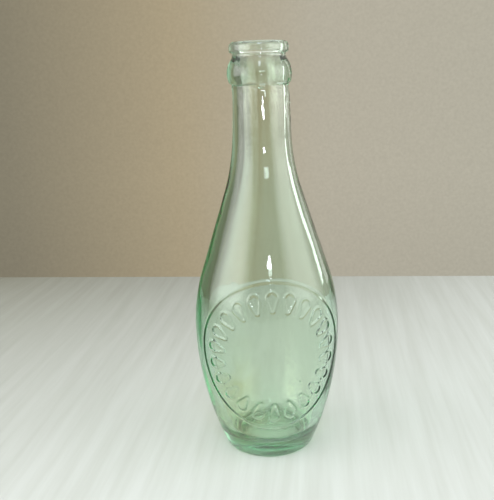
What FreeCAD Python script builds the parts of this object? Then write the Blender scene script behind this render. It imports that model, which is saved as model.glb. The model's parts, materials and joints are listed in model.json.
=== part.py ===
import FreeCAD, Part
import math
import os

# A skittle-shaped glass soda bottle, empty and without its cap, standing on its foot.
# Millimetres. The origin is the middle of the foot, +Z runs up the axis, and the raised ring faces -Y.
# It is two gathers of glass: the blown body, and the lip laid round the end of its neck while hot.

# Driving dimensions of the foot and the base
heel_round = 2.2
standing_width = 2.8
push_up_height = 4.5
push_up_round = 1.5
base_thickness = 8.0
floor_rise = 3.5
inner_heel_round = 7.0

# Driving dimensions of the belly, the cone above it and the shoulder
belly_diameter = 68.6
belly_height = 61.3
belly_lower_sweep = 150.0
belly_upper_sweep = 82.6
belly_wall = 5.0
cone_angle_deg = 18.0
shoulder_sweep = 99.0

# Driving dimensions of the neck and its bore
neck_diameter = 25.6
neck_taper_deg = 1.33
neck_length = 20.0
bore_diameter = 19.0

# Driving dimensions of the applied lip, from its collar up
collar_step = 0.15
collar_swell = 1.55
collar_swell_height = 4.6
collar_height = 11.8
groove_height = 1.8
lip_diameter = 26.6
lip_overhang = 1.4
lip_height = 5.0
lip_under_round = 1.2
lip_top_round = 2.3
mouth_round = 1.1
lip_cover = 2.4

# Driving dimensions of the raised ring on the belly
ring_height = 70.4
ring_width = 75.6
ring_centre_height = 54.45
ring_bead_radius = 0.9
ring_bead_sink = 0.25
ring_sections = 16
ring_nudge = 0.0001

# Radii and angles
belly_radius = belly_diameter / 2
neck_radius = neck_diameter / 2
bore_radius = bore_diameter / 2
lip_radius = lip_diameter / 2
groove_radius = lip_radius - lip_overhang
collar_foot_radius = neck_radius + collar_step
collar_radius = collar_foot_radius + collar_swell
neck_taper = math.radians(neck_taper_deg)
cone_angle = math.radians(cone_angle_deg)
quarter = math.pi / 2

# The two gathers meet halfway through the glass, on a cone round the end of the neck.
seat_low_radius = (bore_radius + neck_radius) / 2
seat_high_radius = (bore_radius + groove_radius) / 2

# A round is no larger than the glass that carries it.
round_share = 0.9
lip_wall = lip_radius - bore_radius
lip_top_fit = min(lip_top_round, round_share * (lip_wall - mouth_round))
lip_under_fit = min(lip_under_round, round_share * lip_overhang)


def at(r, z):
    """A point of the half section, r from the axis and z above the foot."""
    return FreeCAD.Vector(r, 0, z)


def line(start, end):
    """A straight stretch of the half section."""
    return Part.LineSegment(start, end).toShape()


def arc(centre, radius, start_angle, end_angle):
    """A round stretch of the half section about a centre, from one angle to the other."""
    points = []
    for angle in (start_angle, (start_angle + end_angle) / 2, end_angle):
        points.append(centre + at(radius * math.cos(angle), radius * math.sin(angle)))
    return Part.Arc(*points).toShape()


def turned(edges):
    """The solid that a closed half section makes when it is turned about the axis."""
    section = Part.Face(Part.Wire(Part.sortEdges(edges)[0]))
    return section.revolve(at(0, 0), FreeCAD.Vector(0, 0, 1), 360)


def heel_centre(belly, lower_sweep, round_radius, foot_z):
    """The centre of the heel's round, where it runs smoothly into the lower belly."""
    drop = belly_height - foot_z - round_radius
    reach = math.sqrt((lower_sweep - round_radius) ** 2 - drop**2)
    return at(belly - lower_sweep + reach, foot_z + round_radius)


def cone_foot(belly, upper_sweep):
    """Where the upper belly runs into the cone."""
    inset = upper_sweep * (1 - math.cos(cone_angle))
    return at(belly - inset, belly_height + upper_sweep * math.sin(cone_angle))


def neck_foot(belly, upper_sweep, shoulder, radius, taper):
    """Where the shoulder ends, at the foot of a neck of that radius and taper."""
    foot = cone_foot(belly, upper_sweep)
    cone_top_radius = radius + shoulder * (math.cos(taper) - math.cos(cone_angle))
    cone_rise = (foot.x - cone_top_radius) / math.tan(cone_angle)
    shoulder_rise = shoulder * (math.sin(cone_angle) - math.sin(taper))
    return at(radius, foot.z + cone_rise + shoulder_rise)


def side(belly, lower_sweep, upper_sweep, heel, round_radius, shoulder, neck, taper):
    """One side of the glass from the heel up: heel, lower and upper belly, cone and shoulder."""
    lower = at(belly - lower_sweep, belly_height)
    upper = at(belly - upper_sweep, belly_height)
    heel_turn = math.atan2(heel.z - lower.z, heel.x - lower.x)
    shoulder_centre = neck + at(shoulder * math.cos(taper), shoulder * math.sin(taper))
    cone_top = shoulder_centre - at(shoulder * math.cos(cone_angle), shoulder * math.sin(cone_angle))
    return [
        arc(heel, round_radius, -quarter, heel_turn),
        arc(lower, lower_sweep, heel_turn, 0),
        arc(upper, upper_sweep, 0, cone_angle),
        line(cone_foot(belly, upper_sweep), cone_top),
        arc(shoulder_centre, shoulder, math.pi + cone_angle, math.pi + taper),
    ]


def dome(edge_radius, edge_z, round_radius, rise):
    """A domed base, from the axis out to a rounded rim whose lowest point is at the edge."""
    sphere = (edge_radius**2 - 2 * round_radius * rise + rise**2) / (2 * rise)
    centre = at(0, edge_z + rise - sphere)
    rim = at(edge_radius, edge_z + round_radius)
    lean = math.atan2(rim.z - centre.z, rim.x)
    return [
        arc(centre, sphere, quarter, lean),
        arc(rim, round_radius, math.pi + lean, 3 * quarter),
    ]


def bulge(wide_radius, wide_z, end_radius, end_z):
    """A round stretch that stands upright at its widest point and ends at a point nearer the axis."""
    inset = wide_radius - end_radius
    sweep = ((end_z - wide_z) ** 2 + inset**2) / (2 * inset)
    centre = at(wide_radius - sweep, wide_z)
    return arc(centre, sweep, 0, math.atan2(end_z - wide_z, end_radius - centre.x))


# The neck widens by its taper down to the shoulder, and the lip's heights stack up from the top of the neck.
neck_foot_radius = neck_radius + neck_length * math.tan(neck_taper)
outer_neck = neck_foot(belly_radius, belly_upper_sweep, shoulder_sweep, neck_foot_radius, neck_taper)
collar_foot_z = outer_neck.z + neck_length
collar_top_z = collar_foot_z + collar_height
lip_foot_z = collar_top_z + groove_height
overall_height = lip_foot_z + lip_height
neck_end_z = overall_height - lip_cover


def belly_surface_radius(z):
    """How far the outside of the belly, or of the cone above it, lies from the axis at a height."""
    cone_start = cone_foot(belly_radius, belly_upper_sweep)
    if z > cone_start.z:
        return cone_start.x - (z - cone_start.z) * math.tan(cone_angle)
    sweep = belly_upper_sweep if z > belly_height else belly_lower_sweep
    return belly_radius - sweep + math.sqrt(sweep**2 - (z - belly_height) ** 2)


def ring_point(turn):
    """A point of the raised ring's middle line, laid on the belly as a flat hoop wraps round it."""
    z = ring_centre_height + ring_height / 2 * math.sin(turn)
    side_angle = ring_width / 2 * math.cos(turn) / belly_radius
    r = belly_surface_radius(z) - ring_bead_sink
    return FreeCAD.Vector(r * math.sin(side_angle), -r * math.cos(side_angle), z)


def ring_half():
    """Half of the raised ring, a round bead from its top round the +X side to its bottom."""
    beads = []
    for i in range(ring_sections + 1):
        turn = quarter - math.pi * i / ring_sections
        along = ring_point(turn - ring_nudge) - ring_point(turn + ring_nudge)
        bead = Part.Circle(ring_point(turn), along, ring_bead_radius)
        beads.append(Part.Wire(bead.toShape()))
    return Part.makeLoft(beads, True)


def blown_body():
    """The body with its raised ring, and the end of its neck shaped to take the applied lip."""
    heel = heel_centre(belly_radius, belly_lower_sweep, heel_round, 0)
    outside = side(
        belly_radius,
        belly_lower_sweep,
        belly_upper_sweep,
        heel,
        heel_round,
        shoulder_sweep,
        outer_neck,
        neck_taper,
    )
    neck_end = [
        line(outer_neck, at(neck_radius, collar_foot_z)),
        line(at(neck_radius, collar_foot_z), at(seat_low_radius, collar_foot_z)),
        line(at(seat_low_radius, collar_foot_z), at(seat_high_radius, neck_end_z)),
        line(at(seat_high_radius, neck_end_z), at(bore_radius, neck_end_z)),
    ]
    belly = belly_radius - belly_wall
    lower_sweep = belly_lower_sweep - belly_wall
    upper_sweep = belly_upper_sweep - belly_wall
    shoulder = shoulder_sweep + belly_wall
    inner_heel = heel_centre(belly, lower_sweep, inner_heel_round, base_thickness)
    inner_neck = neck_foot(belly, upper_sweep, shoulder, bore_radius, 0)
    inside = side(belly, lower_sweep, upper_sweep, inner_heel, inner_heel_round, shoulder, inner_neck, 0)
    bore = [line(inner_neck, at(bore_radius, neck_end_z))]
    push_up_edge = heel.x - standing_width
    base = [
        line(at(push_up_edge, 0), at(heel.x, 0)),
        line(at(0, push_up_height), at(0, base_thickness + floor_rise)),
    ]
    push_up = dome(push_up_edge, 0, push_up_round, push_up_height)
    floor = dome(inner_heel.x, base_thickness, inner_heel_round, floor_rise)
    body = turned(outside + neck_end + inside + bore + base + push_up + floor)
    half = ring_half()
    other_half = half.mirror(at(0, 0), FreeCAD.Vector(1, 0, 0))
    return body.fuse([half, other_half])


def applied_lip():
    """The crown lip, the groove under it and the collar: one ring of glass seated on the end of the neck."""
    swell_z = collar_foot_z + collar_swell_height
    collar = [
        line(at(seat_low_radius, collar_foot_z), at(collar_foot_radius, collar_foot_z)),
        bulge(collar_radius, swell_z, collar_foot_radius, collar_foot_z),
        bulge(collar_radius, swell_z, groove_radius, collar_top_z),
    ]
    under = at(lip_radius - lip_under_fit, lip_foot_z + lip_under_fit)
    groove = [
        line(at(groove_radius, collar_top_z), at(groove_radius, lip_foot_z)),
        line(at(groove_radius, lip_foot_z), at(under.x, lip_foot_z)),
    ]
    top = at(lip_radius - lip_top_fit, overall_height - lip_top_fit)
    mouth = at(bore_radius + mouth_round, overall_height - mouth_round)
    lip = [
        arc(under, lip_under_fit, -quarter, 0),
        line(at(lip_radius, under.z), at(lip_radius, top.z)),
        arc(top, lip_top_fit, 0, quarter),
        line(at(top.x, overall_height), at(mouth.x, overall_height)),
        arc(mouth, mouth_round, quarter, 2 * quarter),
    ]
    seat = [
        line(at(bore_radius, mouth.z), at(bore_radius, neck_end_z)),
        line(at(bore_radius, neck_end_z), at(seat_high_radius, neck_end_z)),
        line(at(seat_high_radius, neck_end_z), at(seat_low_radius, collar_foot_z)),
    ]
    return turned(collar + groove + lip + seat)


os.makedirs("parts", exist_ok=True)
blown_body().exportStep("parts/blown_body.step")
applied_lip().exportStep("parts/applied_lip.step")
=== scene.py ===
"""A skittle-shaped glass soda bottle, empty and without its cap, dressed for its picture.

Metres. The origin is the middle of the foot, +Z runs up the axis, and the raised ring faces -Y.
The glass is one closed skin: up the outside from the foot, over the lip and down the inside to the floor.
"""
import json
import math

import bpy
import numpy as np
from bpy.props import FloatProperty, FloatVectorProperty, IntProperty, PointerProperty
from mathutils import Matrix, Vector


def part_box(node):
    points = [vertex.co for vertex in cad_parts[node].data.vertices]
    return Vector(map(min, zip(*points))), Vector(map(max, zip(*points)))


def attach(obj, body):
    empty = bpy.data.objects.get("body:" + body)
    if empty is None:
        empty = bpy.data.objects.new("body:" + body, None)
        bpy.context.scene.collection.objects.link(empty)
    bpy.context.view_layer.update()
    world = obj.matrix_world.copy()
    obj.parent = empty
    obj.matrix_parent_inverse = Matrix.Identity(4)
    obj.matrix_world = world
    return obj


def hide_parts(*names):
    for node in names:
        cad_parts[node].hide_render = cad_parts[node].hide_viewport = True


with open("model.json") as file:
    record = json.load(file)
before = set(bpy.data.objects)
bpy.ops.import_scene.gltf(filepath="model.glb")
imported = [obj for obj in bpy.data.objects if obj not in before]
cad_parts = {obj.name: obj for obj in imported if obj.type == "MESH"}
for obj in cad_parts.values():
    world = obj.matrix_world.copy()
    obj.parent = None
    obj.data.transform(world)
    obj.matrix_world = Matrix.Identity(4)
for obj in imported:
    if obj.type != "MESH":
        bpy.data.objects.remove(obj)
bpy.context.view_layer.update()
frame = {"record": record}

bl_info = {
    "name": "Glass soda bottle",
    "version": (1, 0, 0),
    "blender": (4, 5, 0),
    "location": "View3D > Sidebar > Soda bottle",
    "description": "Blows a skittle-shaped glass soda bottle and sets it on a pale floor",
    "category": "Object",
}

MM = 0.001
QUARTER = math.pi / 2
# Points this close together read as one curve before the rows of the mesh are picked from them.
FINE_STEP = 0.1 * MM
LONG_SIDE_PIXELS = 500
SENSOR_WIDTH_MM = 36
# The camera leaves out what is nearer than this.
NEAREST_SEEN = 10 * MM
# Keeps a division from meeting zero.
TINY = 1e-9

MOUNTS = {mount["name"]: mount for mount in frame["record"]["mounts"]}
BELLY_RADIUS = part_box("blown_body")[1].x
COLLAR_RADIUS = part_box("applied_lip")[1].x
BORE_RADIUS = MOUNTS["mouth_bore"]["dims"]["r_mm"] * MM
LIP_RADIUS = MOUNTS["crown_lip"]["dims"]["r_mm"] * MM


def linear(hex_code):
    """An sRGB hex colour as the linear red, green and blue that shaders take."""
    channels = []
    for start in (1, 3, 5):
        value = int(hex_code[start : start + 2], 16) / 255
        channels.append(value / 12.92 if value <= 0.04045 else ((value + 0.055) / 1.055) ** 2.4)
    return tuple(channels)


def opaque(colour):
    """A colour with a full alpha, as the sockets of nodes take it."""
    return (*colour, 1.0)


def length(name, description, default_mm):
    """A property that holds a length, with its default in millimetres."""
    default = default_mm * MM
    return FloatProperty(name=name, description=description, default=default, unit="LENGTH", precision=5)


def offset(name, description, default_mm):
    """A property that holds a move in X and Y, with its default in millimetres."""
    default = [value * MM for value in default_mm]
    return FloatVectorProperty(
        name=name, description=description, default=default, size=2, unit="LENGTH", subtype="XYZ", precision=5
    )


def angle(name, description, default_deg):
    """A property that holds an angle, with its default in degrees."""
    default = math.radians(default_deg)
    return FloatProperty(name=name, description=description, default=default, subtype="ANGLE")


def colour(name, description, hex_code):
    """A property that holds a colour, with its default as an sRGB hex value."""
    return FloatVectorProperty(name=name, description=description, default=linear(hex_code), subtype="COLOR")


def number(name, description, default):
    """A property that holds a plain number."""
    return FloatProperty(name=name, description=description, default=default)


class BottleProfile(bpy.types.PropertyGroup):
    """Sizes of the half section that is turned into the bottle."""

    heel_round: length("Heel round", "Radius of the outer edge of the foot", 2.2)
    standing_width: length("Standing width", "Width of the flat ring that the bottle stands on", 2.8)
    push_up_height: length("Push-up height", "How far the underside domes up into the base", 4.5)
    push_up_round: length("Push-up round", "Radius of the rim of the push-up", 1.5)
    base_thickness: length("Base thickness", "Glass under the edge of the inner floor", 8.0)
    floor_rise: length("Floor rise", "How far the inner floor domes up", 3.5)
    inner_heel_round: length("Inner heel round", "Radius between the inner floor and the wall", 7.0)
    belly_radius: length("Belly radius", "Outer radius at the widest height", BELLY_RADIUS / MM)
    belly_height: length("Belly height", "Height of the widest place", 61.3)
    belly_lower_sweep: length("Lower sweep", "Radius of the curve below the widest place", 150.0)
    belly_upper_sweep: length("Upper sweep", "Radius of the curve above the widest place", 82.6)
    belly_wall: length("Belly wall", "Thickness of the wall", 5.0)
    cone_angle: angle("Cone angle", "Lean of the cone above the belly", 18.0)
    shoulder_sweep: length("Shoulder sweep", "Radius of the hollow curve from the cone to the neck", 99.0)
    neck_radius: length("Neck radius", "Outer radius of the neck under the collar", 12.8)
    neck_taper: angle("Neck taper", "Lean of the neck's side", 1.33)
    neck_length: length("Neck length", "From the shoulder to the collar", 20.0)
    bore_radius: length("Bore radius", "Radius inside the neck", BORE_RADIUS / MM)
    collar_step: length("Collar step", "How far the collar's lower edge stands out from the neck", 0.15)
    collar_radius: length("Collar radius", "Outer radius of the collar's swell", COLLAR_RADIUS / MM)
    collar_swell_height: length("Swell height", "From the collar's foot to its widest place", 4.6)
    collar_height: length("Collar height", "From the collar's foot to the groove", 11.8)
    groove_height: length("Groove height", "Height of the groove under the lip", 1.8)
    lip_radius: length("Lip radius", "Outer radius of the crown lip", LIP_RADIUS / MM)
    lip_overhang: length("Lip overhang", "How far the lip stands out over the groove", 1.4)
    lip_height: length("Lip height", "From the groove to the rim", 5.0)
    lip_under_round: length("Lip under round", "Radius of the lip's lower edge", 1.2)
    lip_top_round: length("Lip top round", "Radius of the lip's upper edge", 2.3)
    mouth_round: length("Mouth round", "Radius of the mouth's edge", 1.1)
    fire_polish: length("Fire polish", "How far the flame melted the corners", 0.2)
    neck_cavity_shift: offset("Cavity shift in the neck", "How far the bore is off centre", (0.7, 0.0))
    belly_cavity_shift: offset("Cavity shift in the belly", "How far the hollow is off centre", (0.4, -0.5))
    lip_shift: length("Lip shift", "How far the applied lip is off centre, to +X", -0.4)


class BottleRelief(bpy.types.PropertyGroup):
    """Sizes of what stands up from the glass: the ring, its border of drops, the seam and the waves."""

    ring_height: length("Ring height", "Height of the raised ring's middle line", 70.4)
    ring_width: length("Ring width", "Width of the raised ring, measured round the belly", 75.6)
    ring_centre_height: length("Ring centre", "Height of the ring's middle", 54.45)
    bead_width: length("Bead width", "Width of the ring's bead", 1.6)
    bead_height: length("Bead height", "How far the bead stands up", 0.42)
    drop_count: IntProperty(name="Drops", description="Number of drops in the border", default=22, min=3)
    drop_length: length("Drop length", "Length of a drop, towards the ring's middle", 9.0)
    drop_width: length("Drop width", "Width of a drop at its round end", 5.2)
    drop_tip_width: length("Drop tip width", "Width of a drop at its slim end", 1.8)
    drop_height: length("Drop height", "How far the line of a drop stands up", 0.45)
    drop_line: length("Drop line", "Width of the raised line that draws a drop", 1.5)
    drop_gap: length("Drop gap", "From the ring to the round ends of the drops", 4.6)
    seam_height: length("Seam height", "How far the mould seam stands up", 0.16)
    seam_width: length("Seam width", "Width of the mould seam", 0.9)
    seam_flash: number("Seam flash", "How much prouder the ragged seam stands on the neck", 2.2)
    outer_wave: length("Outer waves", "Height of the slow waves on the outside", 0.035)
    outer_wave_length: length("Outer wave length", "Length of the slow waves on the outside", 13.0)
    inner_wave: length("Inner waves", "Height of the slow waves on the inside", 0.09)
    inner_wave_length: length("Inner wave length", "Length of the slow waves on the inside", 30.0)
    side_swell: length("Side swell", "How much thicker the wall is at the sides, above the belly", 0.5)
    drawn_line: length("Drawn lines", "Height of the lines drawn down the inside of the neck", 0.05)
    lap_crease: length("Lap crease", "Depth of the crease where the collar laps over the neck", 0.16)
    crease_width: length("Crease width", "Half width of that crease", 0.45)
    neck_ripple: length("Neck ripple", "Height of the ripples that the lipping tool left on the neck", 0.03)
    ripple_length: length("Ripple length", "Length of those ripples, round the neck", 2.8)
    neck_hollow: length("Neck hollow", "How far the neck is drawn in below the collar", 0.17)
    tool_wrinkle: length("Tool wrinkles", "Height of the wrinkles under the collar", 0.14)
    wrinkle_length: length("Wrinkle length", "Length of those wrinkles, round the neck", 6.0)
    wave_seed: IntProperty(name="Wave seed", description="Picks the waves", default=4, min=0)


class GlassFinish(bpy.types.PropertyGroup):
    """Colour and surface of the glass."""

    tint: colour("Tint", "Colour of the light that a thick piece lets through", "#6ED9AD")
    depth: number("Depth", "How strongly the glass takes up the other colours, per metre", 40.0)
    clean: colour("Clean glass", "Colour of the skin of the clean glass", "#FFFEF9")
    # A yellow tint laid on the skin in patches on the lower belly, on the -X side.
    yellow_tint: colour("Stain", "Colour of the dried film inside the belly", "#F1E7C2")
    tint_patch: length("Film patches", "Size of the patches of dried film", 16.0)
    ior: number("Refractive index", "Refractive index of the glass", 1.52)
    roughness: number("Roughness", "Roughness of the clean glass", 0.01)
    foot_roughness: number("Foot roughness", "Roughness of the scuffed standing ring", 0.32)
    foot_haze: number("Foot haze", "Share of the light that the scuffs near the foot scatter", 0.09)
    lip_haze: number("Lip haze", "Share of the light that the scuffs on the lip and collar scatter", 0.06)
    speck: length("Speck size", "Size of the bruises on the foot", 0.7)
    grain: length("Mould grain", "Size of the faint grain that the mould left", 2.6)
    grain_depth: length("Grain depth", "Depth of that grain", 0.2)
    grain_strength: number("Grain strength", "How much of that depth shows", 0.05)
    scuff: length("Scuff size", "Size of the scuffs on the foot", 0.9)
    seed_count: IntProperty(name="Seeds", description="Number of small air bubbles", default=16, min=1)
    seed_radius: length("Seed radius", "Radius of the largest bubble", 0.34)


class StageSetting(bpy.types.PropertyGroup):
    """The camera, the floor and the light."""

    camera_distance: length("Camera distance", "From the bottle's axis to the camera", 320.7)
    camera_height: length("Camera height", "Height of the camera over the floor", 176.9)
    camera_azimuth: angle("Camera azimuth", "How far the camera stands round from -Y towards +X", -4.6)
    camera_pan: angle("Camera pan", "How far the camera points to the right of the axis", -1.506)
    camera_tilt: angle("Camera tilt", "How far the camera points down", 14.03)
    camera_roll: angle("Camera roll", "How far the camera leans", -1.917)
    focal_pixels: number("Focal length", "Focal length in pixels of the 494 by 500 picture", 700.0)
    floor_near: colour("Floor near", "Colour of the floor's paint on the near side", "#D4D8D4")
    floor_far_shade: colour("Floor far", "Colour of the worn paint at the far edge", "#868578")
    # Painted shade: the darker colour that the floor takes towards its far edge and to the left.
    floor_streak: colour("Floor streak", "Colour of the brush marks, over the paint", "#F4F4F2")
    floor_back: length("Floor back", "From the bottle's axis to the floor's far edge", 288.2)
    floor_turn: angle("Floor turn", "How far the floor's far edge is turned", -9.31)
    overhead: number("Overhead light", "How bright the light from above is", 1.1)


def add_node(tree, kind, values=None, links=None, **settings):
    """Adds a node with its settings, the values of its sockets and the links to them.

    A link comes from a socket, or from the first output in use of another node.
    """
    node = tree.nodes.new(kind)
    for name, value in settings.items():
        setattr(node, name, value)
    for socket, value in (values or {}).items():
        node.inputs[socket].default_value = value
    for socket, source in (links or {}).items():
        if isinstance(source, bpy.types.Node):
            source = next(output for output in source.outputs if output.enabled)
        tree.links.new(source, node.inputs[socket])
    return node


def empty_tree(owner):
    """The cleared node tree of a material or a world."""
    owner.use_nodes = True
    owner.node_tree.nodes.clear()
    return owner.node_tree


def at(radius, turn, z):
    """Points at a radius, an angle round the axis from -Y towards +X, and a height."""
    return np.stack([radius * np.sin(turn), -radius * np.cos(turn), z + 0 * turn], axis=-1)


def arc(centre, radius, start_angle, end_angle):
    """Points along a round stretch of the half section, from one angle to the other."""
    count = max(2, math.ceil(abs(end_angle - start_angle) * radius / FINE_STEP) + 1)
    angles = np.linspace(start_angle, end_angle, count)
    return np.add(centre, radius * np.column_stack([np.cos(angles), np.sin(angles)]))


def bulge(wide_radius, wide_z, end_radius, end_z):
    """A round stretch that stands upright at its widest point and ends at a point nearer the axis."""
    inset = wide_radius - end_radius
    sweep = ((end_z - wide_z) ** 2 + inset**2) / (2 * inset)
    centre_radius = wide_radius - sweep
    return arc((centre_radius, wide_z), sweep, 0, math.atan2(end_z - wide_z, end_radius - centre_radius))


def dome(edge_radius, edge_z, round_radius, rise):
    """A domed base, from the axis out to a rounded rim whose lowest point is at the edge."""
    sphere = (edge_radius**2 - 2 * round_radius * rise + rise**2) / (2 * rise)
    centre_z = edge_z + rise - sphere
    rim_z = edge_z + round_radius
    lean = math.atan2(rim_z - centre_z, edge_radius)
    return np.vstack([
        arc((0, centre_z), sphere, QUARTER, lean),
        arc((edge_radius, rim_z), round_radius, math.pi + lean, 3 * QUARTER),
    ])


class WallSide:
    """One side of the wall, from the heel up to the foot of the neck."""

    def __init__(self, profile, inset, heel_round, foot_z, neck_radius, neck_taper):
        belly_z, cone = profile.belly_height, profile.cone_angle
        belly = profile.belly_radius - inset
        lower = profile.belly_lower_sweep - inset
        upper = profile.belly_upper_sweep - inset
        shoulder = profile.shoulder_sweep + inset
        heel_z = foot_z + heel_round
        reach = math.sqrt((lower - heel_round) ** 2 - (belly_z - heel_z) ** 2)
        heel_turn = math.atan2(heel_z - belly_z, reach)
        cone_foot = (belly - upper * (1 - math.cos(cone)), belly_z + upper * math.sin(cone))
        cone_top_radius = neck_radius + shoulder * (math.cos(neck_taper) - math.cos(cone))
        cone_top_z = cone_foot[1] + (cone_foot[0] - cone_top_radius) / math.tan(cone)
        shoulder_radius = neck_radius + shoulder * math.cos(neck_taper)
        shoulder_z = cone_top_z + shoulder * math.sin(cone)
        self.heel_radius = belly - lower + reach
        self.cone_foot_z = cone_foot[1]
        self.neck_z = shoulder_z - shoulder * math.sin(neck_taper)
        self.points = np.vstack([
            arc((self.heel_radius, heel_z), heel_round, -QUARTER, heel_turn),
            arc((belly - lower, belly_z), lower, heel_turn, 0),
            arc((belly - upper, belly_z), upper, 0, cone),
            arc((shoulder_radius, shoulder_z), shoulder, math.pi + cone, math.pi + neck_taper),
        ])


class HalfSection:
    """The bottle's half section, from the middle of the push-up round to the middle of the inner floor.

    It is made of arcs and corners, and it runs straight from one to the next.
    """

    def __init__(self, profile):
        self.profile = profile
        neck_foot_radius = profile.neck_radius + profile.neck_length * math.tan(profile.neck_taper)
        self.outer = WallSide(profile, 0, profile.heel_round, 0, neck_foot_radius, profile.neck_taper)
        inner_foot = profile.inner_heel_round, profile.base_thickness
        self.inner = WallSide(profile, profile.belly_wall, *inner_foot, profile.bore_radius, 0)
        self.collar_z = self.outer.neck_z + profile.neck_length
        self.groove_z = self.collar_z + profile.collar_height
        self.lip_z = self.groove_z + profile.groove_height
        self.rim_z = self.lip_z + profile.lip_height
        self.mouth_z = self.rim_z - profile.mouth_round

    def outside(self):
        """From the middle of the push-up, up the outside and over the lip to the mouth."""
        profile = self.profile
        push_up_edge = self.outer.heel_radius - profile.standing_width
        collar_foot = (profile.neck_radius + profile.collar_step, self.collar_z)
        swell_z = self.collar_z + profile.collar_swell_height
        groove = profile.lip_radius - profile.lip_overhang
        under = (profile.lip_radius - profile.lip_under_round, self.lip_z + profile.lip_under_round)
        top = (profile.lip_radius - profile.lip_top_round, self.rim_z - profile.lip_top_round)
        mouth = (profile.bore_radius + profile.mouth_round, self.mouth_z)
        return np.vstack([
            dome(push_up_edge, 0, profile.push_up_round, profile.push_up_height),
            self.outer.points,
            (profile.neck_radius, self.collar_z),
            bulge(profile.collar_radius, swell_z, *collar_foot)[::-1],
            bulge(profile.collar_radius, swell_z, groove, self.groove_z),
            (groove, self.lip_z),
            arc(under, profile.lip_under_round, -QUARTER, 0),
            arc(top, profile.lip_top_round, 0, QUARTER),
            arc(mouth, profile.mouth_round, QUARTER, 2 * QUARTER),
        ])

    def inside(self):
        """From the mouth down the bore and the inner wall to the middle of the inner floor."""
        profile = self.profile
        mouth = (profile.bore_radius, self.mouth_z)
        floor_edge = self.inner.heel_radius, profile.base_thickness
        floor = dome(*floor_edge, profile.inner_heel_round, profile.floor_rise)
        return np.vstack([mouth, self.inner.points[::-1], floor[::-1]])


def even_points(points):
    """The same line with its points one fine step apart."""
    along = np.concatenate([[0], np.cumsum(np.hypot(*np.diff(points, axis=0).T))])
    places = np.linspace(0, along[-1], round(along[-1] / FINE_STEP) + 1)
    return np.column_stack([np.interp(places, along, points[:, axis]) for axis in (0, 1)])


# The bell curve that melts the corners is cut off at this many reaches.
BELL_SPAN = 3


def melted(points, reach):
    """The same line, from axis to axis, with its corners melted round as a flame leaves them."""
    half = math.ceil(BELL_SPAN * reach / FINE_STEP)
    weights = np.exp(-((np.arange(-half, half + 1) * FINE_STEP / reach) ** 2) / 2)
    weights /= weights.sum()
    across = np.array([-1, 1])
    padded = np.vstack([points[half:0:-1] * across, points, points[-2 : -half - 2 : -1] * across])
    return np.column_stack([np.convolve(padded[:, axis], weights, "valid") for axis in (0, 1)])


# How far apart the mesh's rows lie on each stretch of the half section.
RELIEF_ROW = 0.48 * MM
RIPPLE_ROW = 0.8 * MM
LIP_ROW = 0.55 * MM
CREASE_ROW = 0.3 * MM
FOOT_ROW = 0.9 * MM
PLAIN_ROW = 1.8 * MM
INNER_ROW = 2.2 * MM
# How far past the ring, the collar and the foot the close rows reach.
RELIEF_MARGIN = 2 * MM
LIP_MARGIN = 18 * MM
CREASE_MARGIN = 1.2 * MM
FOOT_HEIGHT = 7 * MM


def smooth_step(values, start, end):
    """0 before start, 1 after end, and a smooth rise between them."""
    share = np.clip((values - start) / (end - start), 0, 1)
    return share * share * (3 - 2 * share)


class Rows:
    """The rows of one side of the glass: radius and height, and the way out of the glass."""

    def __init__(self, points, steps):
        fine = np.arange(len(points))
        count = np.cumsum(FINE_STEP / steps)
        index = np.interp(np.linspace(count[0], count[-1], round(count[-1])), count, fine)
        tangent = np.gradient(points, axis=0)
        tangent /= np.hypot(*tangent.T)[:, None]
        self.radius, self.z = (np.interp(index, fine, points[:, axis])[:, None] for axis in (0, 1))
        self.out_radius = np.interp(index, fine, tangent[:, 1])[:, None]
        self.out_z = np.interp(index, fine, -tangent[:, 0])[:, None]

    def raised(self, turn, height, shift):
        """The points of the surface raised by a height out of the glass and then moved sideways."""
        points = at(self.radius + height * self.out_radius, turn, self.z + height * self.out_z)
        points[..., 0] += shift[0]
        points[..., 1] += shift[1]
        return points


def both_sides(section, relief):
    """The rows of the outside, close together where there is something to show, and of the inside."""
    outside = even_points(section.outside())
    inside = even_points(section.inside())
    points = melted(np.vstack([outside, inside[1:]]), section.profile.fire_polish)
    points[[0, -1], 0] = 0
    outside, inside = points[: len(outside)], points[len(outside) :]

    z = outside[:, 1]
    steps = np.full(len(outside), PLAIN_ROW)
    steps[np.abs(z - relief.ring_centre_height) < relief.ring_height / 2 + RELIEF_MARGIN] = RELIEF_ROW
    steps[z > section.collar_z - LIP_MARGIN] = RIPPLE_ROW
    steps[z > section.collar_z] = LIP_ROW
    steps[np.abs(z - section.collar_z) < CREASE_MARGIN] = CREASE_ROW
    steps[z < FOOT_HEIGHT] = FOOT_ROW
    inner_steps = np.where(inside[:, 1] > section.lip_z, LIP_ROW, INNER_ROW)
    return Rows(outside, steps), Rows(inside, inner_steps)


# The mesh's columns, close on the front and at both sides: degrees from -Y towards +X, and number.
COLUMNS = ((-66, 66, 180), (66, 87, 8), (87, 93, 10), (93, 267, 56), (267, 273, 10), (273, 294, 8))


def columns():
    """The angles of the mesh's columns round the axis."""
    angles = [np.linspace(start, end, count, endpoint=False) for start, end, count in COLUMNS]
    return np.radians(np.concatenate(angles))


# Where the seam starts above the foot, and below the collar where it ends and where it gets ragged.
SEAM_START = 2 * MM
SEAM_END = (1.5 * MM, 4 * MM)
SEAM_FLASH = (14 * MM, 24 * MM)
# The crossing waves that make the seam uneven, and ragged.
SEAM_WAVES = (7.3 * MM, 2.9 * MM)
FLASH_WAVES = (0.8 * MM, 1.9 * MM)
# Where the marks of the lipping tool rise and fall, up from the collar's foot, and where the lip shifts.
RIPPLES_RISE = (-17 * MM, -11 * MM)
WRINKLES_RISE = (-4 * MM, -1.5 * MM)
WRINKLES_FALL = (1 * MM, 3 * MM)
LIP_SHIFTS = (-4 * MM, 6 * MM)
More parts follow.
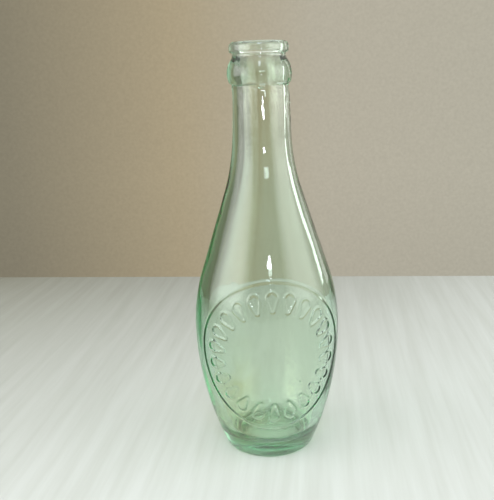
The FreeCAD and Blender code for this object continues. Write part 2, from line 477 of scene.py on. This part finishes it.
# Ripples are long up the neck, and wrinkles are long round it.
RIPPLE_SQUEEZE = np.array([1, 1, 0.45])
WRINKLE_SQUEEZE = np.array([1, 1, 2.6])
# How far below the neck its hollow starts.
HOLLOW_MARGIN = 4 * MM
# The standing ring stays flat, and the marks grow above it.
FLAT_FOOT = (0.3 * MM, 3 * MM)
# The inside is twice as wavy near its floor, and calms down over this height.
WAVES_CALM = (30 * MM, 70 * MM)
# The swells of the inner wall: degrees round from the front and share of the full swell.
SIDE_SWELLS = ((-108, 1.0), (108, 0.3))
SWELL_SPREAD = math.radians(26)
SWELL_LIFT = 4 * MM
SWELL_HEIGHT = 14 * MM
# The drawn lines are two crossing sets: number round the neck and start.
DRAWN_LINES = ((11, 0.6), (17, 2.1))
# Each further set of waves is picked by a seed this far past the first one.
WRINKLE_SEED, INNER_SEED, RIPPLE_SEED = 1, 2, 3


def waves(places, wave_length, seed):
    """Slow waves from a few crossing swells, about 1 high."""
    swell_count = 6
    shortest, longest = 0.75, 1.4
    draw = np.random.default_rng(seed)
    total = np.zeros(places.shape[:-1])
    for _ in range(swell_count):
        heading = draw.normal(size=3)
        heading /= np.linalg.norm(heading)
        swell = wave_length * draw.uniform(shortest, longest)
        phase = draw.uniform(0, 2 * math.pi)
        total += np.sin(2 * math.pi * (places @ heading) / swell + phase)
    return total / math.sqrt(2 * swell_count)


def round_bump(distance, width):
    """A round-topped ridge, 1 high on its line and 0 beyond half its width."""
    return np.cos(np.clip(distance / (width / 2), -1, 1) * QUARTER) ** 2


def ring_and_drops(turn, z, radius, relief, belly_radius):
    """Height of the raised ring and of the border of drops inside it, both laid round the belly."""
    half_width = relief.ring_width / 2
    half_height = relief.ring_height / 2
    side = turn * belly_radius
    rise = z - relief.ring_centre_height
    share = np.maximum(np.hypot(side / half_width, rise / half_height), TINY)
    slope_side = side / half_width**2 / share * belly_radius / radius
    slope_rise = rise / half_height**2 / share
    from_ring = (share - 1) / np.maximum(np.hypot(slope_side, slope_rise), TINY)
    bead = relief.bead_height * round_bump(from_ring, relief.bead_width)

    mean = (half_width + half_height) / 2
    sector = 2 * math.pi / relief.drop_count
    around = np.arctan2(rise / half_height, side / half_width) % sector - sector / 2
    across = np.abs(around) * share * mean
    inward = mean - share * mean - relief.drop_gap
    drops = relief.drop_height * round_bump(from_drop(across, inward, relief), relief.drop_line)
    return bead + drops


def from_drop(across, inward, relief):
    """Distance from the outline of a drop that lies along a line, round at one end and slim at the other."""
    round_end = relief.drop_width / 2
    slim_end = relief.drop_tip_width / 2
    run = relief.drop_length - round_end - slim_end
    lean = (round_end - slim_end) / run
    flank = math.sqrt(1 - lean**2)
    along = inward - round_end
    past = flank * along - lean * across
    distance = flank * across + lean * along - round_end
    distance = np.where(past < 0, np.hypot(across, along) - round_end, distance)
    return np.where(past > flank * run, np.hypot(across, along - run) - slim_end, distance)


def beat(z, first, second):
    """An uneven rise and fall along the height, from 0 to 1, where two waves cross."""
    return (1 + np.sin(z / first) * np.sin(z / second)) / 2


def seams(turn, z, radius, relief, top_z):
    """Height of the mould seam up the +X side, ragged on the neck, to just under the collar.

    The angles run from -pi to pi, so the other seam's angle isn't met, and the -X side is plain.
    """
    below = top_z - z
    ends = smooth_step(below, *SEAM_END)
    ragged = relief.seam_flash * (1 - smooth_step(below, *SEAM_FLASH)) * beat(z, *FLASH_WAVES)
    uneven = (1 + beat(z, *SEAM_WAVES)) / 2 + ragged
    height = np.zeros(np.broadcast_shapes(turn.shape, z.shape))
    for seam_turn in (QUARTER, 3 * QUARTER):
        height += round_bump((turn - seam_turn) * radius, relief.seam_width)
    return relief.seam_height * height * ends * uneven * (z > SEAM_START)


def drawn_in(share):
    """A dip along a stretch, level at its start and 1 deep at two thirds of the way."""
    deepest = 4 / 27
    return share**2 * (1 - share) / deepest


def outer_height(rows, turn, section, relief):
    """What stands up from the outside: ring, drops, seam, slow waves and what the lipping tool left."""
    z = rows.z
    above = z - section.collar_z
    places = at(rows.radius, turn, z)
    height = ring_and_drops(turn, z, np.maximum(rows.radius, MM), relief, section.profile.belly_radius)
    height += seams(turn, z, rows.radius, relief, section.collar_z)
    height += relief.outer_wave * waves(places, relief.outer_wave_length, relief.wave_seed)
    up_the_neck = np.clip(1 + above / (section.profile.neck_length + HOLLOW_MARGIN), 0, 1)
    height -= relief.neck_hollow * drawn_in(up_the_neck)
    ripples = waves(places * RIPPLE_SQUEEZE, relief.ripple_length, relief.wave_seed + RIPPLE_SEED)
    height += relief.neck_ripple * smooth_step(above, *RIPPLES_RISE) * ripples
    wrinkles = waves(places * WRINKLE_SQUEEZE, relief.wrinkle_length, relief.wave_seed + WRINKLE_SEED)
    wrinkled = smooth_step(above, *WRINKLES_RISE) * (1 - smooth_step(above, *WRINKLES_FALL))
    height += relief.tool_wrinkle * wrinkled * wrinkles
    height -= relief.lap_crease * np.exp(-((above / relief.crease_width) ** 2)) * (1 + wrinkles)
    return height * smooth_step(z, *FLAT_FOOT)


def inner_height(rows, turn, section, relief):
    """What stands up from the inside: slow waves, and lines drawn down the neck as the glass was blown."""
    z = rows.z
    seed = relief.wave_seed + INNER_SEED
    height = relief.inner_wave * waves(at(rows.radius, turn, z), relief.inner_wave_length, seed)
    height *= 2 - smooth_step(z, *WAVES_CALM)
    past_height = (z - section.profile.belly_height - SWELL_LIFT) / SWELL_HEIGHT
    for side_turn, share in SIDE_SWELLS:
        past_side = np.angle(np.exp(1j * (turn - math.radians(side_turn)))) / SWELL_SPREAD
        height += share * relief.side_swell * np.exp(-(past_side**2) - past_height**2)
    drawn = smooth_step(z, section.outer.cone_foot_z, section.outer.neck_z)
    lines = sum(np.sin(count * turn + phase) for count, phase in DRAWN_LINES) / len(DRAWN_LINES)
    height += relief.drawn_line * drawn * lines
    return height * (1 - smooth_step(z, section.groove_z, section.mouth_z))


def skin(grid):
    """Points and faces of a stack of rings, closed at both ends, where the first and last ring are one point.

    A ring may have half as many points as the one before it.
    """
    rings, points = [], []
    for ring in grid[1:-1]:
        rings.append(np.arange(len(ring)) + len(points))
        points.extend(ring.tolist())
    first_pole, last_pole = len(points), len(points) + 1
    points += [end.mean(axis=0).tolist() for end in (grid[0], grid[-1])]
    faces = []
    for low, high in zip(rings, rings[1:]):
        corners = [low, np.roll(low, -1), np.roll(high, -1), high]
        if len(low) > len(high):
            corners = [low[::2], np.roll(low, -1)[::2], np.roll(low, -2)[::2], *corners[2:]]
        faces += np.stack(corners, axis=-1).tolist()
    faces += [(first_pole, beside, here) for here, beside in zip(rings[0], np.roll(rings[0], -1))]
    faces += [(here, beside, last_pole) for here, beside in zip(rings[-1], np.roll(rings[-1], -1))]
    return points, faces


def smooth_mesh(name, skins):
    """A smooth mesh of one or more closed skins."""
    points, faces = [], []
    for skin_points, skin_faces in skins:
        faces += [[len(points) + corner for corner in face] for face in skin_faces]
        points += skin_points
    mesh = bpy.data.meshes.new(name)
    mesh.from_pydata(points, [], faces)
    mesh.shade_smooth()
    return mesh


def glass_mesh(profile, relief):
    """The closed skin of the bottle with all that stands up from it."""
    section = HalfSection(profile)
    outside, inside = both_sides(section, relief)
    turn = columns()
    inner_turn = turn[::2]
    front_first = np.where(turn > math.pi, turn - 2 * math.pi, turn)

    lean = smooth_step(inside.z, section.inner.cone_foot_z, section.inner.neck_z)
    centred = smooth_step(inside.z, section.collar_z, section.mouth_z)
    off_centre = [
        (low * (1 - lean) + high * lean) * (1 - centred)
        for low, high in zip(profile.belly_cavity_shift, profile.neck_cavity_shift)
    ]
    crooked = [
        profile.lip_shift * smooth_step(rows.z - section.collar_z, *LIP_SHIFTS)
        for rows in (outside, inside)
    ]
    outer_grid = outside.raised(turn, outer_height(outside, front_first, section, relief), (crooked[0], 0))
    shift = (crooked[1] + off_centre[0], off_centre[1])
    inner_grid = inside.raised(inner_turn, inner_height(inside, inner_turn, section, relief), shift)
    return smooth_mesh("glass_bottle", [skin([*outer_grid, *inner_grid])])


# Where the bubbles lie: height over the foot, and share of the wall from its inside.
SEED_HEIGHTS = (16 * MM, 150 * MM)
SEED_DEPTHS = (0.45, 0.7)
# Their size as a share of the largest, and their length as a multiple of their width.
SEED_SIZES = (0.35, 1.0)
SEED_STRETCHES = (1.0, 1.9)
SEED_PICK = 11


def seed_mesh(profile, finish):
    """Bubbles at picked places inside the wall, drawn long up the bottle as the glass was blown."""
    ring_count, side_count = 8, 12
    # A round ball from its top down, so that its faces look into the air.
    lift = np.linspace(QUARTER, -QUARTER, ring_count + 1)[:, None]
    way = np.linspace(0, 2 * math.pi, side_count, endpoint=False)
    ball = at(np.cos(lift), way, np.sin(lift))
    section = HalfSection(profile)
    walls = (section.outer.points, section.inner.points)
    draw = np.random.default_rng(SEED_PICK)
    skins = []
    for _ in range(finish.seed_count):
        z = draw.uniform(*SEED_HEIGHTS)
        turn = draw.uniform(0, 2 * math.pi)
        size = finish.seed_radius * draw.uniform(*SEED_SIZES)
        stretch = draw.uniform(*SEED_STRETCHES)
        outer_radius, inner_radius = (np.interp(z, wall[:, 1], wall[:, 0]) for wall in walls)
        radius = inner_radius + (outer_radius - inner_radius) * draw.uniform(*SEED_DEPTHS)
        skins.append(skin(ball * (size, size, size * stretch) + at(radius, turn, z)))
    return smooth_mesh("glass_seeds", skins)


def floor_mesh(back):
    """A slab with a rounded far edge, its top at the height of the foot."""
    half_width, front, thickness, edge_round = 1.1, -1.1, 0.03, 0.003
    edge_steps = 6
    section = [(front, -thickness), (front, 0.0)]
    for step in range(edge_steps + 1):
        turn = QUARTER * (1 - step / edge_steps)
        section.append((back + edge_round * (math.cos(turn) - 1), edge_round * (math.sin(turn) - 1)))
    section.append((back, -thickness))
    count = len(section)
    points = [(side * half_width, y, z) for side in (-1, 1) for y, z in section]
    faces = [tuple(range(count)), tuple(range(2 * count - 1, count - 1, -1))]
    for i in range(count):
        beside = (i + 1) % count
        faces.append((i, i + count, beside + count, beside))
    mesh = bpy.data.meshes.new("floor")
    mesh.from_pydata(points, [], faces)
    return mesh


# A row for a fade says what it follows, how, from where to where and its value there, in these sockets.
FADE = ("From Min", "From Max", "To Min", "To Max")


def mould_blown_glass(finish):
    """Soda-lime glass, blown in an iron mould and fire polished.

    Clear and glossy, with its green from traces of iron, so it deepens where the glass is thick.
    The mould leaves a faint grain, the foot and the lip are scuffed milky and the foot is bruised white.
    The skin is tinted yellow in patches on the lower belly, on the -X side.
    """
    material = bpy.data.materials.new("soda_lime_glass_mould_blown")
    tree = empty_tree(material)
    coords = add_node(tree, "ShaderNodeTexCoord").outputs["Object"]
    place = add_node(tree, "ShaderNodeSeparateXYZ", links={"Vector": coords}).outputs
    x, z = place["X"], place["Z"]
    # Each cloud: the size of its patches and how many finer sizes it holds.
    sizes = {
        "scuff": (finish.scuff, 4.0),
        "film": (finish.tint_patch, 3.0),
        "speck": (finish.speck, 1.0),
        "grain": (finish.grain, 2.0),
    }
    cloud = {}
    for name, (size, detail) in sizes.items():
        values = {"Scale": 1 / size, "Detail": detail}
        cloud[name] = add_node(tree, "ShaderNodeTexNoise", values, {"Vector": coords})

    fades = {
        "worn_foot": (z, "LINEAR", 0.3 * MM, 2.4 * MM, 1.0, 0.0),
        "scuffed": (cloud["scuff"], "LINEAR", 0.42, 0.6, 0.0, 1.0),
        # Where the yellow tint lies: low on the belly, on the -X side, in patches.
        "low": (z, "LINEAR", 20 * MM, 46 * MM, 1.0, 0.0),
        "left": (x, "LINEAR", -2 * MM, -16 * MM, 0.0, 1.0),
        "patchy_tint": (cloud["film"], "LINEAR", 0.4, 0.65, 0.0, 1.0),
        "foot_haze": (z, "SMOOTHSTEP", 3 * MM, 24 * MM, finish.foot_haze, 0.0),
        "lip_haze": (z, "SMOOTHSTEP", 174 * MM, 190 * MM, 0.0, finish.lip_haze),
        "dusty": (cloud["scuff"], "LINEAR", 0.3, 0.7, 0.5, 1.5),
        "bruised": (cloud["speck"], "LINEAR", 0.7, 0.78, 0.0, 1.0),
        "bruised_foot": (z, "LINEAR", 4 * MM, 10 * MM, 0.5, 0.0),
    }
    mask = {}
    for name, (source, kind, *limits) in fades.items():
        values = dict(zip(FADE, limits))
        mask[name] = add_node(tree, "ShaderNodeMapRange", values, {"Value": source}, interpolation_type=kind)

    sums = (
        ("wear", "MULTIPLY", "worn_foot", "scuffed"),
        ("low_left", "MULTIPLY", "low", "left"),
        ("yellowed", "MULTIPLY", "low_left", "patchy_tint"),
        ("haze", "ADD", "foot_haze", "lip_haze"),
        ("uneven_haze", "MULTIPLY", "haze", "dusty"),
        ("bruises", "MULTIPLY", "bruised", "bruised_foot"),
        ("milky", "MAXIMUM", "uneven_haze", "bruises"),
    )
    for name, operation, first, second in sums:
        links = {0: mask[first], 1: mask[second]}
        mask[name] = add_node(tree, "ShaderNodeMath", links=links, operation=operation)
    clear = add_node(tree, "ShaderNodeMath", {0: 1.0}, {1: mask["milky"]}, operation="SUBTRACT")
    values = {"To Min": finish.roughness, "To Max": finish.foot_roughness}
    roughness = add_node(tree, "ShaderNodeMapRange", values, {"Value": mask["wear"]})
    values = {"A": opaque(finish.clean), "B": opaque(finish.yellow_tint)}
    skin_colour = add_node(tree, "ShaderNodeMix", values, {"Factor": mask["yellowed"]}, data_type="RGBA")
    values = {"Strength": finish.grain_strength, "Distance": finish.grain_depth}
    bump = add_node(tree, "ShaderNodeBump", values, {"Height": cloud["grain"]})
    links = {"Transmission Weight": clear, "Base Color": skin_colour, "Roughness": roughness, "Normal": bump}
    shader = add_node(tree, "ShaderNodeBsdfPrincipled", {"IOR": finish.ior}, links)
    values = {"Color": opaque(finish.tint), "Density": finish.depth}
    depth = add_node(tree, "ShaderNodeVolumeAbsorption", values)
    add_node(tree, "ShaderNodeOutputMaterial", links={"Surface": shader, "Volume": depth})
    return material


def trapped_air(finish):
    """Air trapped in glass as small bubbles: a bright skin that mirrors and bends what is round it."""
    dimple = 0.4 * MM
    roughest = 0.05
    material = bpy.data.materials.new("trapped_air_in_glass")
    tree = empty_tree(material)
    coords = add_node(tree, "ShaderNodeTexCoord").outputs["Object"]
    dimples = add_node(tree, "ShaderNodeTexNoise", {"Scale": 1 / dimple}, {"Vector": coords})
    roughness = add_node(tree, "ShaderNodeMapRange", {"To Max": roughest}, {"Value": dimples})
    values = {"IOR": finish.ior, "Transmission Weight": 1.0, "Base Color": opaque(linear("#FFFFFF"))}
    shader = add_node(tree, "ShaderNodeBsdfPrincipled", values, {"Roughness": roughness})
    add_node(tree, "ShaderNodeOutputMaterial", links={"Surface": shader})
    return material


def painted_board(stage):
    """Board under matt white paint, laid on with a wide brush: pale and dry, with soft streaks. Painted shade
    darkens it towards the far edge, the more so to the left.
    """
    streak_across = 7 * MM
    streak_along = 150 * MM
    # Painted shade: from near the bottle to the far edge, and more so to the left, the paint darkens to the
    # far shade colour.
    shade_from, shade_to = -20 * MM, 520 * MM
    shade_lean = -0.8
    faintest, strongest = 0.35, 0.65
    material = bpy.data.materials.new("board_painted_matt_white")
    tree = empty_tree(material)
    coords = add_node(tree, "ShaderNodeTexCoord").outputs["Object"]
    values = {1: (1 / streak_across, 1 / streak_along, 1 / streak_across)}
    stretched = add_node(tree, "ShaderNodeVectorMath", values, {0: coords}, operation="MULTIPLY")
    values = {"Scale": 1.0, "Detail": 5.0, "Roughness": 0.6}
    streaks = add_node(tree, "ShaderNodeTexNoise", values, {"Vector": stretched})
    values = {"From Min": faintest, "From Max": strongest}
    shade = add_node(tree, "ShaderNodeMapRange", values, {"Value": streaks})
    place = add_node(tree, "ShaderNodeSeparateXYZ", links={"Vector": coords}).outputs
    links = {0: place["X"], 2: place["Y"]}
    leaning = add_node(tree, "ShaderNodeMath", {1: shade_lean}, links, operation="MULTIPLY_ADD")
    values = {"From Min": shade_from, "From Max": shade_to}
    far = add_node(tree, "ShaderNodeMapRange", values, {"Value": leaning})
    # The floor's colour runs from its paint near the bottle to painted shade at the far left.
    values = {"A": opaque(stage.floor_near), "B": opaque(stage.floor_far_shade)}
    far_shade = add_node(tree, "ShaderNodeMix", values, {"Factor": far}, data_type="RGBA")
    values = {"B": opaque(stage.floor_streak)}
    links = {"Factor": shade, "A": far_shade}
    paint = add_node(tree, "ShaderNodeMix", values, links, data_type="RGBA", blend_type="MULTIPLY")
    values = {"Roughness": 0.8, "Specular IOR Level": 0.1}
    shader = add_node(tree, "ShaderNodeBsdfPrincipled", values, {"Base Color": paint})
    add_node(tree, "ShaderNodeOutputMaterial", links={"Surface": shader})
    return material


def placed(name, data):
    """An object with that name, linked to the scene."""
    thing = bpy.data.objects.new(name, data)
    bpy.context.scene.collection.objects.link(thing)
    return thing


class SODA_BOTTLE_OT_glass(bpy.types.Operator):
    """Makes the bottle as one closed skin of glass"""

    bl_idname = "soda_bottle.glass"
    bl_label = "Glass"

    def execute(self, context):
        scene = context.scene
        bottle = placed("glass_bottle", glass_mesh(scene.bottle_profile, scene.bottle_relief))
        bottle.data.materials.append(mould_blown_glass(scene.glass_finish))
        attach(bottle, "root")
        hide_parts("blown_body", "applied_lip")
        return {"FINISHED"}


class SODA_BOTTLE_OT_seeds(bpy.types.Operator):
    """Makes the small air bubbles in the wall, which glassmakers call seeds"""

    bl_idname = "soda_bottle.seeds"
    bl_label = "Seeds"

    def execute(self, context):
        scene = context.scene
        seeds = placed("glass_seeds", seed_mesh(scene.bottle_profile, scene.glass_finish))
        seeds.data.materials.append(trapped_air(scene.glass_finish))
        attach(seeds, "root")
        return {"FINISHED"}


# The colour of the surround at eye level, by degrees to the right of the line of sight.
SURROUND = (
    (-180, "#8E8B80"),
    (-90, "#86847A"),
    (-45, "#7C7867"),
    (-19, "#857F6D"),
    (-5, "#AC9F83"),
    (6, "#B5AF9E"),
    (20, "#B4B0A0"),
    (60, "#B4B1A4"),
    (100, "#98968C"),
    (180, "#8E8B80"),
)
FULL_TURN_DEG = 360


def soft_surround(stage, heading):
    """Soft light by direction: a warm backdrop all round, cooler behind the camera and pale overhead, with
    painted shade on the backdrop just above the floor's far edge.
    """
    mottle_size = 0.004
    world = bpy.data.worlds.new("soft_surround")
    tree = empty_tree(world)
    coords = add_node(tree, "ShaderNodeTexCoord").outputs["Generated"]
    values, links = {"Angle": -heading}, {"Vector": coords}
    turned = add_node(tree, "ShaderNodeVectorRotate", values, links, rotation_type="Z_AXIS")
    way = add_node(tree, "ShaderNodeSeparateXYZ", links={"Vector": turned}).outputs
    side = add_node(tree, "ShaderNodeMath", links={0: way["X"], 1: way["Y"]}, operation="ARCTAN2")
    lift = add_node(tree, "ShaderNodeMath", links={0: way["Z"]}, operation="ARCSINE")
    values = {"Scale": 1 / mottle_size, "Detail": 3.0}
    mottles = add_node(tree, "ShaderNodeTexNoise", values, {"Vector": coords})

    low, high = math.radians(24), math.radians(50)
    fades = {
        "round": (side, "LINEAR", -math.pi, math.pi, 0.0, 1.0),
        "overhead": (lift, "SMOOTHSTEP", low, high, 0.0, 1.0),
        "bright": (lift, "SMOOTHSTEP", low, high, 1.0, stage.overhead),
        "behind": (way["Y"], "LINEAR", -0.5, -0.9, 0.0, 1.0),
        "raised": (lift, "SMOOTHSTEP", math.radians(5), math.radians(16), 0.0, 0.5),
        # Painted shade: the backdrop darkens just above the floor's far edge.
        "shaded": (lift, "LINEAR", math.radians(-16), math.radians(-8), 0.93, 1.0),
        "mottled": (mottles, "LINEAR", 0.25, 0.75, 0.95, 1.05),
    }
    mask = {}
    for name, (source, kind, *limits) in fades.items():
        values = dict(zip(FADE, limits))
        mask[name] = add_node(tree, "ShaderNodeMapRange", values, {"Value": source}, interpolation_type=kind)
    # The uneven backdrop is the painted shade above the floor's edge times the mottles.
    products = (
        ("cool", "behind", "raised"),
        ("uneven", "shaded", "mottled"),
        ("strength", "uneven", "bright"),
    )
    for name, first, second in products:
        links = {0: mask[first], 1: mask[second]}
        mask[name] = add_node(tree, "ShaderNodeMath", links=links, operation="MULTIPLY")

    shown = add_node(tree, "ShaderNodeValToRGB", links={"Fac": mask["round"]})
    elements = shown.color_ramp.elements
    middle = 0.5
    while len(elements) < len(SURROUND):
        elements.new(middle)
    for element, (degrees, hex_code) in zip(elements, SURROUND):
        element.position = middle + degrees / FULL_TURN_DEG
        element.color = opaque(linear(hex_code))
    for name, hex_code in (("cool", "#E2ECFA"), ("overhead", "#F6F7F4")):
        links = {"Factor": mask[name], "A": shown}
        shown = add_node(tree, "ShaderNodeMix", {"B": opaque(linear(hex_code))}, links, data_type="RGBA")
    background = add_node(tree, "ShaderNodeBackground", links={"Color": shown, "Strength": mask["strength"]})
    add_node(tree, "ShaderNodeOutputWorld", links={"Surface": background})
    return world


# Name, degrees to the right of the line of sight, distance from the axis, height, size, brightness, colour.
LAMPS = (
    ("left_panel", -108, 0.75, 0.30, (0.95, 0.54), 3.2, "#FFFFFF"),
    ("right_panel", 108, 0.75, 0.30, (0.95, 0.54), 1.95, "#FFFFFF"),
    ("side_strip", 52, 0.90, 0.30, (0.20, 0.60), 1.0, "#FFFFFF"),
    ("oval", 174.5, 0.20, 0.164, (0.030, 0.008), 36, "#EEF4FF"),
    ("high_strip", 178, 0.50, 0.68, (0.09, 0.30), 6, "#D8E6FA"),
)
# All of them shine at this place on the axis.
AIM = (0, 0, 90 * MM)
# A panel is a stack of lamps of these sizes, so that it fades towards its edges.
PANEL_SIZES = (1.2, 1.0, 0.8, 0.6)
PANEL_STEP = 0.004
# A lamp of one square metre needs this many watts to look as bright as white paper in full light.
WATTS_PER_SQUARE_METRE = 4.0
# Light crosses the thick base and the two walls many times before it gets out.
GLASS_BOUNCES = 64


def soft_lamp(name, place, sides, brightness, hex_code):
    """A flat lamp that shines at the bottle, and that the camera itself doesn't see."""
    data = bpy.data.lights.new(name, "AREA")
    data.shape = "ELLIPSE" if name == "oval" else "RECTANGLE"
    filled = math.pi / 4 if name == "oval" else 1
    data.size, data.size_y = sides
    data.energy = brightness * filled * math.prod(sides) * WATTS_PER_SQUARE_METRE
    data.color = linear(hex_code)
    lamp = placed(name, data)
    lamp.location = place
    lamp.rotation_euler = (Vector(AIM) - place).to_track_quat("-Z", "Y").to_euler()
    lamp.visible_camera = False


def picture_camera(stage):
    """The camera at the picture's viewing angle."""
    data = bpy.data.cameras.new("camera")
    data.sensor_width = SENSOR_WIDTH_MM
    data.lens = stage.focal_pixels / LONG_SIDE_PIXELS * SENSOR_WIDTH_MM
    data.clip_start = NEAREST_SEEN
    camera = placed("camera", data)
    around = Matrix.Rotation(stage.camera_azimuth, 4, "Z")
    away = Matrix.Translation((0, -stage.camera_distance, stage.camera_height))
    pan = Matrix.Rotation(-stage.camera_pan, 4, "Z")
    tilt = Matrix.Rotation(QUARTER - stage.camera_tilt, 4, "X")
    roll = Matrix.Rotation(stage.camera_roll, 4, "Z")
    camera.matrix_world = around @ away @ pan @ tilt @ roll
    return camera


class SODA_BOTTLE_OT_stage(bpy.types.Operator):
    """Makes the floor, the light and the camera"""

    bl_idname = "soda_bottle.stage"
    bl_label = "Stage"

    def execute(self, context):
        scene = context.scene
        stage = scene.stage_setting
        scene.view_settings.view_transform = "Standard"
        floor = placed("floor", floor_mesh(stage.floor_back))
        floor.rotation_euler.z = stage.floor_turn
        floor.data.materials.append(painted_board(stage))

        heading = stage.camera_azimuth - stage.camera_pan
        scene.world = soft_surround(stage, heading)
        for name, side_angle, distance, height, size, brightness, hex_code in LAMPS:
            layers = PANEL_SIZES if name.endswith("panel") else (1.0,)
            for i, share in enumerate(layers):
                # Straight ahead is beyond the bottle, so the radius is negative.
                place = at(-distance - i * PANEL_STEP, heading - math.radians(side_angle), height)
                sides = [side * share for side in size]
                soft_lamp(name, Vector(place), sides, brightness / len(layers), hex_code)
        cycles = scene.cycles
        cycles.max_bounces = cycles.transmission_bounces = cycles.glossy_bounces = GLASS_BOUNCES
        cycles.blur_glossy = 0.0
        scene.camera = picture_camera(stage)
        return {"FINISHED"}


class VIEW3D_PT_soda_bottle(bpy.types.Panel):
    """Lists the bottle's pieces and their sizes"""

    bl_label = "Soda bottle"
    bl_space_type = "VIEW_3D"
    bl_region_type = "UI"
    bl_category = "Soda bottle"

    def draw(self, context):
        for operator in OPERATORS:
            self.layout.operator(operator.bl_idname)
        for name, group in GROUPS.items():
            box = self.layout.box()
            box.label(text=group.__doc__)
            for field in group.__annotations__:
                box.prop(getattr(context.scene, name), field)


GROUPS = {
    "bottle_profile": BottleProfile,
    "bottle_relief": BottleRelief,
    "glass_finish": GlassFinish,
    "stage_setting": StageSetting,
}
OPERATORS = (SODA_BOTTLE_OT_glass, SODA_BOTTLE_OT_seeds, SODA_BOTTLE_OT_stage)
CLASSES = (*GROUPS.values(), *OPERATORS, VIEW3D_PT_soda_bottle)


def register():
    for cls in CLASSES:
        bpy.utils.register_class(cls)
    for name, group in GROUPS.items():
        setattr(bpy.types.Scene, name, PointerProperty(type=group))


def unregister():
    for name in GROUPS:
        delattr(bpy.types.Scene, name)
    for cls in reversed(CLASSES):
        bpy.utils.unregister_class(cls)


def main():
    register()
    bpy.ops.soda_bottle.glass()
    bpy.ops.soda_bottle.seeds()
    bpy.ops.soda_bottle.stage()


if __name__ == "__main__":
    main()
